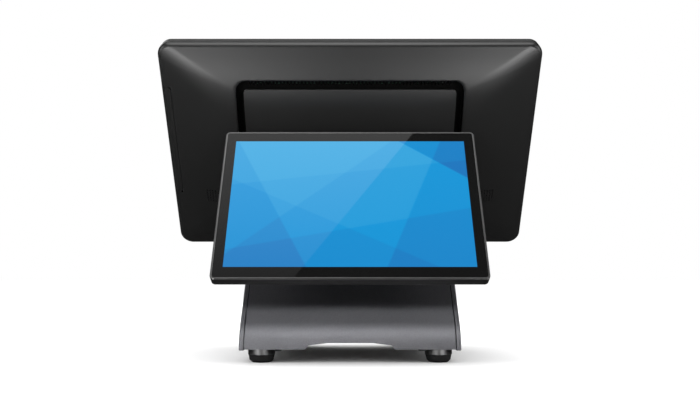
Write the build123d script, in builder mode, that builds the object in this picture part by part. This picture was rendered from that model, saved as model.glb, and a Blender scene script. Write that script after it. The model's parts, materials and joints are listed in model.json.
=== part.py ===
from build123d import *
from math import cos, radians, sin, sqrt, tan
import os

os.makedirs("parts", exist_ok=True)

# ---------------------------------------------------------------- driving sizes (mm)

# operator head
head_width = 377.0
head_height = 227.0
head_corner = 12.0
head_lean = 35.1            # degrees back from upright, top towards the customer
bezel_depth = 12.0
bezel_ledge = 8.0           # width of the bezel ring round the panel
bezel_round = 1.2
seam_gap = 1.0              # dark groove between bezel and rear shell
seam_inset = 1.0
shell_depth = 24.0
shell_wall = 2.4
rim_depth = 6.0             # steep edge of the shell before its long slopes
rim_share = 0.04            # part of each slope that the steep edge takes
side_slope = 85.0
end_slope = 60.0
plateau_corner = 22.0
glass_thickness = 2.0
glass_rim = 3.0
glass_gap = 0.2
gasket_thickness = 0.4
panel_width = 352.0
panel_height = 204.0
chassis_thickness = 1.5
chassis_margin = 4.0

# recess in the back of the head, and the cover in it
recess_width = 223.3
recess_top = 80.2
recess_bottom = -62.0
recess_corner = 9.7
recess_floor = 13.0         # depth of its floor behind the seam plane
pan_wall = 2.0
pan_gap = 0.2
cover_channel = 7.7         # open channel round the cover
cover_bottom = -14.0
cover_corner = 3.5
cover_thickness = 2.0
cover_edge_space = 7.0      # from the cover's side edge to the screws under it
cover_post_space = 22.0     # from the cover's side edge to its own posts
vent_pitch = 3.5
vent_width = 1.6
vent_length = 3.2
grille_pitch = 3.0
grille_rows = 5
grille_columns = 6
grille_hole = 0.75
grille_x = 143.0
grille_y = -46.5
side_cover_width = 10.0
side_cover_top = 70.0
side_cover_bottom = -47.0
side_cover_depth = 13.0
side_cover_gap = 0.3

# electronics in the head
board_width = 184.0
board_height = 100.0
board_thickness = 1.6
board_y = 36.0
standoff_height = 3.0
standoff_radius = 2.5
small_screw = 1.25
screw_radius = 1.5
screw_head = 3.0
screw_head_height = 1.8
spreader_height = 4.3
port_height = 6.0
speaker_width = 26.0
speaker_height = 22.0
speaker_depth = 9.5

# head hinge
head_hinge_back = 110.7     # in front of the stand's back edge
head_hinge_height = 155.2
head_hinge_drop = 40.0      # below the middle of the head
head_hinge_reach = 36.0     # behind the seam plane
hinge_pin = 5.0
running_gap = 0.05
knuckle_radius = 8.0
cheek_inner = 42.0
cheek_thickness = 4.0
washer_thickness = 3.0
ear_radius = 9.0
ear_thickness = 4.0
bracket_width = 124.0
bracket_height = 48.0
bracket_thickness = 3.0
bracket_screw = 2.0

# power button
button_x = -150.0
button_radius = 3.0
button_gap = 0.1
button_stand = 0.8
button_travel = 0.6
button_flange = 0.9
button_level = 5.0          # in front of the seam plane

# stand
stand_width = 192.0
end_cap_thickness = 4.0
end_cap_groove = 0.8
end_cap_drop = 0.9
stand_floor = 11.5          # underside of the covers above the counter
stand_wall = 2.5
floor_gap = 0.1             # between the floor plate and the covers
stand_length = 176.0
stand_top = 143.0
front_top_back = 118.0      # upper edge of the front cover, in front of the back edge
cover_straight = 2.5        # upright part of the rear cover before its bend
cover_bend = 32.0
cover_lean = 38.0
arch_foot = 39.0
arch_step = 36.0
arch_flat = 20.0
arch_step_height = 15.0
arch_top = 17.0
cable_hole = 14.0
cable_hole_back = 80.0
fixing_x = 60.0             # holes for bolting the stand to a counter
fixing_back = 42.0
fixing_front = 150.0
fixing_radius = 2.75

# feet
foot_x = 77.4
rear_foot_back = 12.0
front_foot_back = 160.0
foot_radius = 11.8
collar_height = 5.0
foot_tip = 8.0
foot_swell = 1.3            # how far the pad draws in at a third of its height
foot_lip = 0.4              # how far the pad stays inside the collar
foot_screw = 2.5
front_foot_radius = 10.0
bumper_x = 62.5
bumper_width = 5.6
bumper_length = 14.0
bumper_drop = 1.5

# spine
web_thickness = 3.2
flange_width = 12.0
flange_thickness = 3.0
spine_screw = 2.0

# power supply
supply_width = 28.0
supply_length = 80.0
supply_height = 42.0
supply_front = 137.0
supply_x = 75.0
strap_thickness = 1.2
strap_width = 14.0

# customer display
display_width = 238.0
display_height = 159.0
display_corner = 4.0
display_lean = 27.4         # degrees back from upright, top towards the operator
display_bezel_depth = 10.0
display_shell_depth = 12.0
display_shell_wall = 2.0
display_shell_inset = 3.0
display_shell_taper = 13.0
display_glass = 2.0
display_rim = 2.0
display_ledge = 6.0
display_panel_gap = 2.0
display_panel_depth = 5.0
trim_height = 1.5
trim_chamfer = 0.8
display_hinge_back = 38.0
display_hinge_height = 109.0
display_hinge_drop = 20.0
display_hinge_reach = 34.0
display_pin = 3.0
arm_half = 14.0
arm_radius = 8.0
arm_top = 116.0
arm_bottom = 88.0
arm_flange = 4.0
arm_slot_half = 20.0
arm_slot_low = 84.0
arm_slot_high = 124.0
display_washer = 2.9
display_ear = 3.0
display_ear_radius = 7.5
display_bracket_width = 56.0
display_bracket_height = 50.0
display_bracket_thickness = 2.5
display_board_width = 130.0
display_board_height = 50.0
display_board_y = 38.0
display_standoff = 4.0

# ---------------------------------------------------------------- places that follow

head_sin, head_cos = sin(radians(head_lean)), cos(radians(head_lean))
display_sin, display_cos = sin(radians(display_lean)), cos(radians(display_lean))

# the object is centred on the Y axis between its two lowest front edges
customer_reach = (
    -display_hinge_back
    + display_hinge_reach * display_cos
    + (display_height / 2 - display_hinge_drop) * display_sin
)
operator_reach = (
    head_hinge_back
    + (head_height / 2 - head_hinge_drop) * head_sin
    + (head_hinge_reach + bezel_depth) * head_cos
)
back_y = (operator_reach - customer_reach) / 2

head_hinge_y = back_y - head_hinge_back
head_y = head_hinge_y + head_hinge_drop * head_sin - head_hinge_reach * head_cos
head_z = head_hinge_height + head_hinge_drop * head_cos + head_hinge_reach * head_sin
head = Plane(origin=(0, head_y, head_z), x_dir=(1, 0, 0), z_dir=(0, -head_cos, head_sin))
head_side = Plane(origin=(0, head_y, head_z), x_dir=(0, head_sin, head_cos), z_dir=(1, 0, 0))

display_hinge_y = back_y - display_hinge_back
display_y = display_hinge_y - display_hinge_drop * display_sin + display_hinge_reach * display_cos
display_z = display_hinge_height + display_hinge_drop * display_cos + display_hinge_reach * display_sin
display = Plane(
    origin=(0, display_y, display_z), x_dir=(-1, 0, 0), z_dir=(0, display_cos, display_sin)
)
display_side = Plane(
    origin=(0, display_y, display_z), x_dir=(0, -display_sin, display_cos), z_dir=(-1, 0, 0)
)

half_cover = stand_width / 2 - end_cap_thickness - end_cap_groove
inner_half = stand_width / 2 - end_cap_thickness
floor_top = stand_floor + stand_wall
bend_base = stand_floor + cover_straight
lean_tan = tan(radians(cover_lean))
bend_end_y = cover_bend * (1 - cos(radians(cover_lean)))
bend_end_z = bend_base + cover_bend * sin(radians(cover_lean))
cover_top_back = bend_end_y + (stand_top - bend_end_z) * lean_tan

web_low = (50.0, 24.0)      # distance in front of the back edge, and height
web_high = (98.5, 141.0)
web_run = (web_high[0] - web_low[0]) / (web_high[1] - web_low[1])

board_top = chassis_thickness + standoff_height + board_thickness
ear_inner = cheek_inner + cheek_thickness + washer_thickness + running_gap
plate_inner_depth = shell_depth - cover_thickness
recess_height = recess_top - recess_bottom
recess_y = (recess_top + recess_bottom) / 2
cover_width = recess_width - 2 * cover_channel
cover_top = recess_top - cover_channel
cover_height = cover_top - cover_bottom
cover_y = (cover_top + cover_bottom) / 2

# ---------------------------------------------------------------- shared shapes


def finish(part, name):
    """Label a finished sub-part and write it."""
    part.label = name
    export_step(part, f"parts/{name}.step")


def slab(plane, low, high, width, height, at=(0, 0), radius=0.0, mode=Mode.ADD):
    """Upright-sided block between two levels of a plane, with rounded corners if asked."""
    with BuildSketch(plane.offset(low)) as outline:
        with Locations(at):
            if radius:
                RectangleRounded(width, height, radius)
            else:
                Rectangle(width, height)
    extrude(outline.sketch, amount=high - low, mode=mode)


def posts(plane, low, high, radius, places, mode=Mode.ADD):
    """Round posts or holes between two levels of a plane."""
    with BuildSketch(plane.offset(low)) as outline:
        with Locations(*places):
            Circle(radius)
    extrude(outline.sketch, amount=high - low, mode=mode)


def prism(plane, low, high, points, mode=Mode.ADD):
    """Straight-sided outline carried between two levels of a plane."""
    with BuildSketch(plane.offset(low)) as outline:
        with BuildLine():
            Polyline(*points, close=True)
        make_face()
    extrude(outline.sketch, amount=high - low, mode=mode)


def corners(half_x, half_y, centre_y=0.0, centre_x=0.0):
    """The four corners of a rectangle, as places."""
    return [
        (centre_x + sx * half_x, centre_y + sy * half_y)
        for sx in (-1, 1)
        for sy in (-1, 1)
    ]


def yz(distance, height):
    """A point of a side view, from its distance in front of the stand's back edge."""
    return (back_y - distance, height)


def shell_height(share):
    """Depth of the crowned back: a steep rounded edge plus a quarter of a sine wave."""
    edge = min(share / rim_share, 1.0)
    steep = rim_depth * sqrt(1 - (1 - edge) ** 2)
    return steep + (shell_depth - rim_depth) * sin(radians(90 * share))


shell_shares = [0, 0.004, 0.014, 0.04, 0.1, 0.2, 0.34, 0.48, 0.62, 0.76, 0.9, 1]


def pillow(inset, lift):
    """Crowned solid of the head's back, drawn in by inset and lowered by lift."""
    with BuildPart() as crowned:
        for share in shell_shares:
            with BuildSketch(head.offset(lift - shell_height(share))):
                RectangleRounded(
                    head_width - 2 * inset - 2 * side_slope * share,
                    head_height - 2 * inset - 2 * end_slope * share,
                    head_corner - inset / 2 + (plateau_corner - head_corner) * share,
                )
        loft()
    return crowned.part


shell_outside = pillow(0, 0)
shell_inside = pillow(shell_wall, shell_wall)
cover_inside = pillow(0, cover_thickness)
pan_limit = pillow(shell_wall + pan_gap, shell_wall + pan_gap)

# ---------------------------------------------------------------- head: front

opening_width = head_width - 2 * bezel_ledge
opening_height = head_height - 2 * bezel_ledge
recess_depth = glass_thickness + gasket_thickness
button_plane = Plane(
    origin=head.from_local_coords((button_x, -head_height / 2, button_level)),
    x_dir=(1, 0, 0),
    z_dir=(0, head_sin, head_cos),
)

with BuildPart() as head_front_bezel:
    slab(head, seam_gap, bezel_depth, head_width, head_height, radius=head_corner)
    front_rim = head_front_bezel.faces().sort_by(Axis(head.origin, head.z_dir))[-1].edges()
    fillet(front_rim, bezel_round)
    slab(
        head, 0, seam_gap, head_width - 2 * seam_inset, head_height - 2 * seam_inset,
        radius=head_corner - seam_inset,
    )
    slab(head, 0, bezel_depth, opening_width, opening_height, radius=4, mode=Mode.SUBTRACT)
    slab(
        head, bezel_depth - recess_depth, bezel_depth,
        head_width - 2 * glass_rim + 2 * glass_gap, head_height - 2 * glass_rim + 2 * glass_gap,
        radius=head_corner - glass_rim, mode=Mode.SUBTRACT,
    )
    posts(button_plane, 0, bezel_ledge, button_radius + button_gap, [(0, 0)], Mode.SUBTRACT)
finish(head_front_bezel.part, "head_front_bezel")

with BuildPart() as head_glass_gasket:
    gasket_low = bezel_depth - recess_depth
    slab(
        head, gasket_low, gasket_low + gasket_thickness,
        head_width - 2 * glass_rim, head_height - 2 * glass_rim, radius=head_corner - glass_rim,
    )
    slab(
        head, gasket_low, gasket_low + gasket_thickness,
        opening_width, opening_height, radius=4, mode=Mode.SUBTRACT,
    )
finish(head_glass_gasket.part, "head_glass_gasket")

with BuildPart() as head_touch_glass:
    slab(
        head, bezel_depth - glass_thickness, bezel_depth,
        head_width - 2 * glass_rim, head_height - 2 * glass_rim, radius=head_corner - glass_rim,
    )
    glass_face = head_touch_glass.faces().sort_by(Axis(head.origin, head.z_dir))[-1]
    chamfer(glass_face.edges(), 0.4)
finish(head_touch_glass.part, "head_touch_glass")

with BuildPart() as head_lcd_panel:
    slab(head, 0, bezel_depth - glass_thickness, panel_width, panel_height, radius=2)
finish(head_lcd_panel.part, "head_lcd_panel")

# ---------------------------------------------------------------- head: inside

board_corners = corners(board_width / 2 - 6, board_height / 2 - 6, board_y)
bracket_y = -head_hinge_drop - 2
bracket_places = corners(36, 14, bracket_y) + [(0, bracket_y - 14), (0, bracket_y + 14)]
pan_posts = [
    (side * (cover_width / 2 - cover_edge_space), post_y)
    for side in (-1, 1)
    for post_y in (cover_top - 10, recess_bottom + 8)
]

with BuildPart() as head_chassis_plate:
    slab(
        head, -chassis_thickness, 0, head_width - 2 * chassis_margin,
        head_height - 2 * chassis_margin, radius=head_corner - chassis_margin,
    )
    posts(head, -chassis_thickness, 0, bracket_screw, bracket_places, Mode.SUBTRACT)
finish(head_chassis_plate.part, "head_chassis_plate")

with BuildPart() as head_board_standoffs:
    posts(head, -chassis_thickness - standoff_height, -chassis_thickness, standoff_radius, board_corners)
    posts(
        head, -chassis_thickness - standoff_height, -chassis_thickness, small_screw,
        board_corners, Mode.SUBTRACT,
    )
finish(head_board_standoffs.part, "head_board_standoffs")

with BuildPart() as head_main_board:
    slab(head, -board_top, board_thickness - board_top, board_width, board_height, at=(0, board_y))
    posts(head, -board_top, board_thickness - board_top, small_screw, board_corners, Mode.SUBTRACT)
    for chip_x, chip_y, chip_w, chip_h in (
        (-70, 40, 34, 70), (-40, 12, 16, 16), (-38, 60, 14, 20), (82, 30, 14, 50),
    ):
        slab(head, -board_top - 2.4, -board_top, chip_w, chip_h, at=(chip_x, chip_y))
finish(head_main_board.part, "head_main_board")

with BuildPart() as head_board_screws:
    posts(head, -board_top, -chassis_thickness - 0.5, small_screw, board_corners)
    posts(head, -board_top - screw_head_height, -board_top, screw_head - 0.5, board_corners)
finish(head_board_screws.part, "head_board_screws")

with BuildPart() as head_heat_spreader:
    slab(head, -board_top - 1.6, -board_top, 84, 62, at=(22, 42))
    for step in range(11):
        slab(
            head, -board_top - spreader_height, -board_top - 1.6, 1.6, 62,
            at=(22 - 40 + 8 * step, 42),
        )
finish(head_heat_spreader.part, "head_heat_spreader")

with BuildPart() as solid_state_drive:
    slab(head, -chassis_thickness - 3.4, -chassis_thickness, 22, 80, at=(140, 25))
finish(solid_state_drive.part, "solid_state_drive")

with BuildPart() as head_speakers:
    for side in (-1, 1):
        slab(
            head, -chassis_thickness - speaker_depth, -chassis_thickness,
            speaker_width, speaker_height, at=(side * grille_x, grille_y), radius=2,
        )
        posts(
            head, -chassis_thickness - speaker_depth, -chassis_thickness - speaker_depth + 1.5,
            8, [(side * grille_x, grille_y)], Mode.SUBTRACT,
        )
finish(head_speakers.part, "head_speakers")

# ---------------------------------------------------------------- head: rear shell and cover

grille_places = [
    (
        side * grille_x + (column - (grille_columns - 1) / 2) * grille_pitch,
        grille_y + (row - (grille_rows - 1) / 2) * grille_pitch,
    )
    for side in (-1, 1)
    for row in range(grille_rows)
    for column in range(grille_columns)
]
side_cover_x = head_width / 2 - side_cover_width
side_cover_height = side_cover_top - side_cover_bottom
side_cover_y = (side_cover_top + side_cover_bottom) / 2

with BuildPart() as head_rear_shell:
    add(shell_outside)
    add(shell_inside, mode=Mode.SUBTRACT)
    slab(
        head, -shell_depth - 5, -recess_floor + 5, recess_width, recess_height,
        at=(0, recess_y), radius=recess_corner, mode=Mode.SUBTRACT,
    )
    posts(head, -shell_depth, -shell_wall, grille_hole, grille_places, Mode.SUBTRACT)
    slab(
        head, -side_cover_depth - side_cover_gap, -2 + side_cover_gap,
        2 * (side_cover_width + side_cover_gap), side_cover_height + 2 * side_cover_gap,
        at=(head_width / 2, side_cover_y), radius=3, mode=Mode.SUBTRACT,
    )
finish(head_rear_shell.part, "head_rear_shell")

with BuildPart() as head_side_cover:
    add(shell_outside)
    add(shell_inside, mode=Mode.SUBTRACT)
    slab(
        head, -side_cover_depth, -2, 2 * side_cover_width, side_cover_height,
        at=(head_width / 2, side_cover_y), radius=3, mode=Mode.INTERSECT,
    )
finish(head_side_cover.part, "head_side_cover")

ear_slot_x = ear_inner + ear_thickness / 2
vent_count = int((cover_width - 2 * cover_corner) / vent_pitch)

with BuildPart() as head_recess_pan:
    slab(
        head, -shell_depth, pan_wall - recess_floor, recess_width + 2 * pan_wall,
        recess_height + 2 * pan_wall, at=(0, recess_y), radius=recess_corner + pan_wall,
    )
    slab(
        head, -shell_depth, -recess_floor, recess_width, recess_height,
        at=(0, recess_y), radius=recess_corner, mode=Mode.SUBTRACT,
    )
    add(pan_limit, mode=Mode.INTERSECT)
    for side in (-1, 1):
        slab(
            head, -recess_floor, pan_wall - recess_floor, ear_thickness + 4, bracket_height,
            at=(side * ear_slot_x, bracket_y), mode=Mode.SUBTRACT,
        )
    posts(head, pan_wall - recess_floor, -chassis_thickness, 4, pan_posts)
    posts(head, -recess_floor, -chassis_thickness - 1, screw_radius, pan_posts, Mode.SUBTRACT)
    with BuildSketch(head.offset(-recess_floor)) as vents:
        with Locations((0, recess_top - cover_channel / 2)):
            with GridLocations(vent_pitch, 1, vent_count, 1):
                Rectangle(vent_width, vent_length)
    extrude(vents.sketch, amount=pan_wall, mode=Mode.SUBTRACT)
finish(head_recess_pan.part, "head_recess_pan")

with BuildPart() as head_pan_screws:
    posts(head, -recess_floor, -chassis_thickness - 1, screw_radius, pan_posts)
    posts(head, -recess_floor - screw_head_height, -recess_floor, screw_head, pan_posts)
finish(head_pan_screws.part, "head_pan_screws")

cover_posts = corners(cover_width / 2 - cover_post_space, cover_height / 2 - 6, cover_y)

with BuildPart() as head_cable_cover:
    add(shell_outside)
    add(cover_inside, mode=Mode.SUBTRACT)
    slab(
        head, -shell_depth, -recess_floor, cover_width, cover_height,
        at=(0, cover_y), radius=cover_corner, mode=Mode.INTERSECT,
    )
    posts(head, -plate_inner_depth - 0.5, -recess_floor, 3, cover_posts)
finish(head_cable_cover.part, "head_cable_cover")

port_board_y = cover_y - cover_height / 2 + 26

with BuildPart() as head_port_board:
    slab(
        head, -recess_floor - board_thickness, -recess_floor, cover_width - 38, 26,
        at=(0, port_board_y),
    )
finish(head_port_board.part, "head_port_board")

port_widths = [9, 17, 17, 31, 14, 14, 14, 14]
port_space = 3.0

with BuildPart() as head_port_blocks:
    port_left = -(sum(port_widths) + port_space * (len(port_widths) - 1)) / 2
    for port_width in port_widths:
        slab(
            head, -recess_floor - board_thickness - port_height, -recess_floor - board_thickness,
            port_width, 16, at=(port_left + port_width / 2, port_board_y - 4),
        )
        slab(
            head, -recess_floor - board_thickness - port_height + 1.4,
            -recess_floor - board_thickness - 1.4, port_width - 3, 6,
            at=(port_left + port_width / 2, port_board_y - 9), mode=Mode.SUBTRACT,
        )
        port_left += port_width + port_space
finish(head_port_blocks.part, "head_port_blocks")

# ---------------------------------------------------------------- head: hinge bracket and button

hinge_level = -head_hinge_reach
bracket_back = -chassis_thickness - bracket_thickness

with BuildPart() as head_hinge_bracket:
    slab(head, bracket_back, -chassis_thickness, bracket_width, bracket_height, at=(0, bracket_y))
    posts(head, bracket_back, -chassis_thickness, bracket_screw, bracket_places, Mode.SUBTRACT)
    for low in (ear_inner, -ear_inner - ear_thickness):
        prism(
            head_side, low, low + ear_thickness,
            [
                (-head_hinge_drop - ear_radius, hinge_level),
                (-head_hinge_drop - 18, bracket_back),
                (-head_hinge_drop + 18, bracket_back),
                (-head_hinge_drop + ear_radius, hinge_level),
            ],
        )
        posts(head_side, low, low + ear_thickness, ear_radius, [(-head_hinge_drop, hinge_level)])
        posts(
            head_side, low, low + ear_thickness, hinge_pin + running_gap,
            [(-head_hinge_drop, hinge_level)], Mode.SUBTRACT,
        )
finish(head_hinge_bracket.part, "head_hinge_bracket")

with BuildPart() as head_bracket_screws:
    posts(head, bracket_back, -0.2, bracket_screw, bracket_places)
    posts(head, bracket_back - 2, bracket_back, bracket_screw * 2, bracket_places)
finish(head_bracket_screws.part, "head_bracket_screws")

with BuildPart() as power_button:
    posts(button_plane, -button_stand, bezel_ledge + button_flange, button_radius, [(0, 0)])
    chamfer(power_button.faces().sort_by(Axis(button_plane.origin, button_plane.z_dir))[0].edges(), 0.3)
    posts(button_plane, bezel_ledge, bezel_ledge + button_flange, button_radius + 1, [(0, 0)])
finish(power_button.part, "power_button")

switch_low = bezel_ledge + button_flange + button_travel + 0.1
switch_high = (head_height - panel_height) / 2

with BuildPart() as power_button_switch:
    with BuildSketch(button_plane.offset(switch_low)) as switch_body:
        with Locations((0, 0)):
            Rectangle(12, 2 * button_level)
    extrude(switch_body.sketch, amount=switch_high - switch_low - 0.1)
finish(power_button_switch.part, "power_button_switch")

# ---------------------------------------------------------------- stand: floor and covers

end_y = back_y - stand_length
arch_outline = [
    (arch_foot, stand_floor), (arch_step, arch_step_height), (arch_flat, arch_top),
    (-arch_flat, arch_top), (-arch_step, arch_step_height), (-arch_foot, stand_floor),
]
rear_feet = [(side * foot_x, back_y - rear_foot_back) for side in (-1, 1)]
front_feet = [(side * foot_x, back_y - front_foot_back) for side in (-1, 1)]
fixings = [
    (side * fixing_x, back_y - distance)
    for side in (-1, 1)
    for distance in (fixing_back, fixing_front)
]
spine_x = cheek_inner + cheek_thickness + flange_width / 2
spine_places = [(side * spine_x, back_y - distance) for side in (-1, 1) for distance in (70, 125)]
arch_roof = arch_top + stand_wall
roof_bend = sqrt((cover_bend - stand_wall) ** 2 - max(arch_roof - bend_base, 0) ** 2)
floor_back = cover_bend - roof_bend + floor_gap
front_slope = (stand_length - front_top_back) / (stand_top + stand_wall - stand_floor)
wall_run = stand_wall * sqrt(1 + front_slope ** 2)
floor_front = stand_length - wall_run - front_slope * (arch_roof - stand_floor) - floor_gap

with BuildPart() as base_bottom_plate:
    with BuildSketch(Plane.XZ.offset(floor_back - back_y)) as floor_section:
        with BuildLine():
            Polyline(
                (inner_half, stand_floor), *arch_outline, (-inner_half, stand_floor),
                (-inner_half, floor_top), (-arch_foot - 2.5, floor_top),
                (-arch_step - 2, arch_step_height + stand_wall), (-arch_flat - 0.5, arch_roof),
                (arch_flat + 0.5, arch_roof), (arch_step + 2, arch_step_height + stand_wall),
                (arch_foot + 2.5, floor_top), (inner_half, floor_top), close=True,
            )
        make_face()
    extrude(floor_section.sketch, amount=floor_front - floor_back)
    posts(Plane.XY, 0, floor_top, foot_screw, rear_feet + front_feet, Mode.SUBTRACT)
    posts(Plane.XY, 0, floor_top, fixing_radius, fixings, Mode.SUBTRACT)
    posts(Plane.XY, 0, floor_top, spine_screw, spine_places, Mode.SUBTRACT)
    posts(Plane.XY, 0, 2 * floor_top, cable_hole, [(0, back_y - cable_hole_back)], Mode.SUBTRACT)
finish(base_bottom_plate.part, "base_bottom_plate")

with BuildPart() as cable_grommet:
    grommet_place = [(0, back_y - cable_hole_back)]
    posts(Plane.XY, arch_top, arch_roof, cable_hole, grommet_place)
    posts(Plane.XY, arch_roof, arch_roof + 1.5, cable_hole + 2, grommet_place)
    posts(Plane.XY, arch_top, arch_roof + 1.5, cable_hole - 2, grommet_place, Mode.SUBTRACT)
finish(cable_grommet.part, "cable_grommet")


def cover_edge(inset):
    """Side view of the rear cover's curve: upright, then an arc, then a straight lean."""
    radius = cover_bend - inset
    centre = (back_y - cover_bend, bend_base)
    lean = radians(cover_lean)
    arc_end = (centre[0] + radius * cos(lean), centre[1] + radius * sin(lean))
    top = (arc_end[0] - (stand_top - arc_end[1]) * lean_tan, stand_top)
    return centre, radius, arc_end, top


with BuildPart() as base_rear_cover:
    with BuildSketch(Plane.YZ.offset(-half_cover)) as cover_section:
        outer_centre, outer_radius, outer_end, outer_top = cover_edge(0)
        inner_centre, inner_radius, inner_end, inner_top = cover_edge(stand_wall)
        with BuildLine():
            Line((back_y, stand_floor), (back_y, bend_base))
            CenterArc(outer_centre, outer_radius, 0, cover_lean)
            Line(outer_end, outer_top)
            Line(outer_top, inner_top)
            Line(inner_top, inner_end)
            CenterArc(inner_centre, inner_radius, 0, cover_lean)
            Line((back_y - stand_wall, bend_base), (back_y - stand_wall, stand_floor))
            Line((back_y - stand_wall, stand_floor), (back_y, stand_floor))
        make_face()
    extrude(cover_section.sketch, amount=2 * half_cover)
    prism(Plane.XZ.offset(-back_y - 1), 0, stand_wall + 2, arch_outline, Mode.SUBTRACT)
    slab(
        Plane.XZ, -back_y, stand_length - back_y, 2 * arm_slot_half, arm_slot_high - arm_slot_low,
        at=(0, (arm_slot_high + arm_slot_low) / 2), radius=4, mode=Mode.SUBTRACT,
    )
finish(base_rear_cover.part, "base_rear_cover")

front_under_top = front_top_back + front_slope * stand_wall

with BuildPart() as base_front_cover:
    prism(
        Plane.YZ, -half_cover, half_cover,
        [
            yz(stand_length, stand_floor), yz(front_top_back, stand_top + stand_wall),
            yz(cover_top_back, stand_top + stand_wall), yz(cover_top_back, stand_top),
            yz(front_under_top - wall_run, stand_top), yz(stand_length - wall_run, stand_floor),
        ],
    )
    for side in (-1, 1):
        slab(
            Plane.XY, stand_top - 6, stand_top + stand_wall, cheek_thickness + 1, 24,
            at=(side * (cheek_inner + cheek_thickness / 2), head_hinge_y + 4), mode=Mode.SUBTRACT,
        )
    prism(Plane.XZ.offset(-end_y - 12), 0, 14, arch_outline, Mode.SUBTRACT)
finish(base_front_cover.part, "base_front_cover")

for cap_name, cap_low in (
    ("base_end_cap_left", inner_half), ("base_end_cap_right", -inner_half - end_cap_thickness),
):
    with BuildPart() as base_end_cap:
        with BuildSketch(Plane.YZ.offset(cap_low)) as cap_outline:
            cap_floor = stand_floor - end_cap_drop
            with BuildLine():
                Line((back_y, cap_floor), (back_y, bend_base))
                CenterArc(outer_centre, outer_radius, 0, cover_lean)
                cap_back = yz(cover_top_back, stand_top + stand_wall)
                Line(outer_end, outer_top)
                Line(outer_top, cap_back)
                Line(cap_back, yz(front_top_back, stand_top + stand_wall))
                Line(yz(front_top_back, stand_top + stand_wall), yz(stand_length, cap_floor))
                Line(yz(stand_length, cap_floor), (back_y, cap_floor))
            make_face()
        extrude(cap_outline.sketch, amount=end_cap_thickness)
        outer_face = base_end_cap.faces().sort_by(Axis.X)[-1 if cap_low > 0 else 0]
        fillet(outer_face.edges(), 1.0)
    finish(base_end_cap.part, cap_name)

# ---------------------------------------------------------------- stand: spine and hinge pins

arm_level = (arm_top + arm_bottom) / 2 - 2
web = Plane(
    origin=(0, back_y - web_low[0] - web_run * (arm_level - web_low[1]), arm_level),
    x_dir=(1, 0, 0),
    z_dir=(0, 1, web_run),
)
arm_places = corners(19, 16)

with BuildPart() as stand_spine:
    for low in (cheek_inner, -cheek_inner - cheek_thickness):
        prism(
            Plane.YZ, low, low + cheek_thickness,
            [
                yz(145, floor_top), yz(145, 30), yz(113, 141),
                yz(head_hinge_back + 7.6, head_hinge_height - 2.6),
                yz(head_hinge_back - 7.6, head_hinge_height + 2.6),
                yz(*web_high), yz(*web_low), yz(web_low[0], floor_top),
            ],
        )
        posts(
            Plane.YZ, low, low + cheek_thickness, knuckle_radius, [(head_hinge_y, head_hinge_height)]
        )
        posts(
            Plane.YZ, low, low + cheek_thickness, hinge_pin,
            [(head_hinge_y, head_hinge_height)], Mode.SUBTRACT,
        )
    prism(
        Plane.YZ, -cheek_inner, cheek_inner,
        [
            yz(*web_low), yz(*web_high), yz(web_high[0] + web_thickness, web_high[1]),
            yz(web_low[0] + web_thickness, web_low[1]),
        ],
    )
    for side in (-1, 1):
        slab(
            Plane.XY, floor_top, floor_top + flange_thickness, flange_width, 75,
            at=(side * spine_x, back_y - 97.5),
        )
    posts(Plane.XY, floor_top, 2 * floor_top, spine_screw, spine_places, Mode.SUBTRACT)
    posts(web, -2 * web_thickness, 0, screw_radius, arm_places, Mode.SUBTRACT)
finish(stand_spine.part, "stand_spine")

with BuildPart() as stand_spine_screws:
    posts(Plane.XY, stand_floor, floor_top + flange_thickness, spine_screw, spine_places)
    posts(
        Plane.XY, floor_top + flange_thickness, floor_top + flange_thickness + 2.4,
        2 * spine_screw, spine_places,
    )
finish(stand_spine_screws.part, "stand_spine_screws")

shaft_outer = ear_inner + ear_thickness + 6.0
nut_low = ear_inner + ear_thickness + running_gap

with BuildPart() as head_hinge_shafts:
    for low in (cheek_inner - 2, -shaft_outer):
        posts(
            Plane.YZ, low, low + shaft_outer - cheek_inner + 2, hinge_pin,
            [(head_hinge_y, head_hinge_height)],
        )
finish(head_hinge_shafts.part, "head_hinge_shafts")

with BuildPart() as head_hinge_washers:
    for low in (cheek_inner + cheek_thickness, -cheek_inner - cheek_thickness - washer_thickness):
        posts(Plane.YZ, low, low + washer_thickness, knuckle_radius, [(head_hinge_y, head_hinge_height)])
        posts(
            Plane.YZ, low, low + washer_thickness, hinge_pin,
            [(head_hinge_y, head_hinge_height)], Mode.SUBTRACT,
        )
finish(head_hinge_washers.part, "head_hinge_washers")

with BuildPart() as head_hinge_nuts:
    for low in (nut_low, -nut_low - 5):
        with BuildSketch(Plane.YZ.offset(low)) as nut:
            with Locations((head_hinge_y, head_hinge_height)):
                RegularPolygon(knuckle_radius, 6)
                Circle(hinge_pin, mode=Mode.SUBTRACT)
        extrude(nut.sketch, amount=5)
finish(head_hinge_nuts.part, "head_hinge_nuts")

# ---------------------------------------------------------------- feet and power supply

foot_top = stand_floor
collar_low = foot_top - collar_height

with BuildPart() as rear_foot_collars:
    posts(Plane.XY, collar_low, foot_top, foot_radius, rear_feet)
    chamfer(rear_foot_collars.edges().filter_by(GeomType.CIRCLE).group_by(Axis.Z)[0], 0.4)
    posts(Plane.XY, collar_low, foot_top, foot_screw, rear_feet, Mode.SUBTRACT)
finish(rear_foot_collars.part, "rear_foot_collars")

with BuildPart() as rear_foot_pads:
    for foot_place in rear_feet:
        with BuildSketch(Plane.XY) as pad_tip:
            with Locations(foot_place):
                Circle(foot_tip)
        with BuildSketch(Plane.XY.offset(collar_low / 3)) as pad_middle:
            with Locations(foot_place):
                Circle(foot_radius - foot_swell)
        with BuildSketch(Plane.XY.offset(collar_low)) as pad_top:
            with Locations(foot_place):
                Circle(foot_radius - foot_lip)
        loft(sections=[pad_tip.sketch, pad_middle.sketch, pad_top.sketch], ruled=True)
finish(rear_foot_pads.part, "rear_foot_pads")

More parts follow.
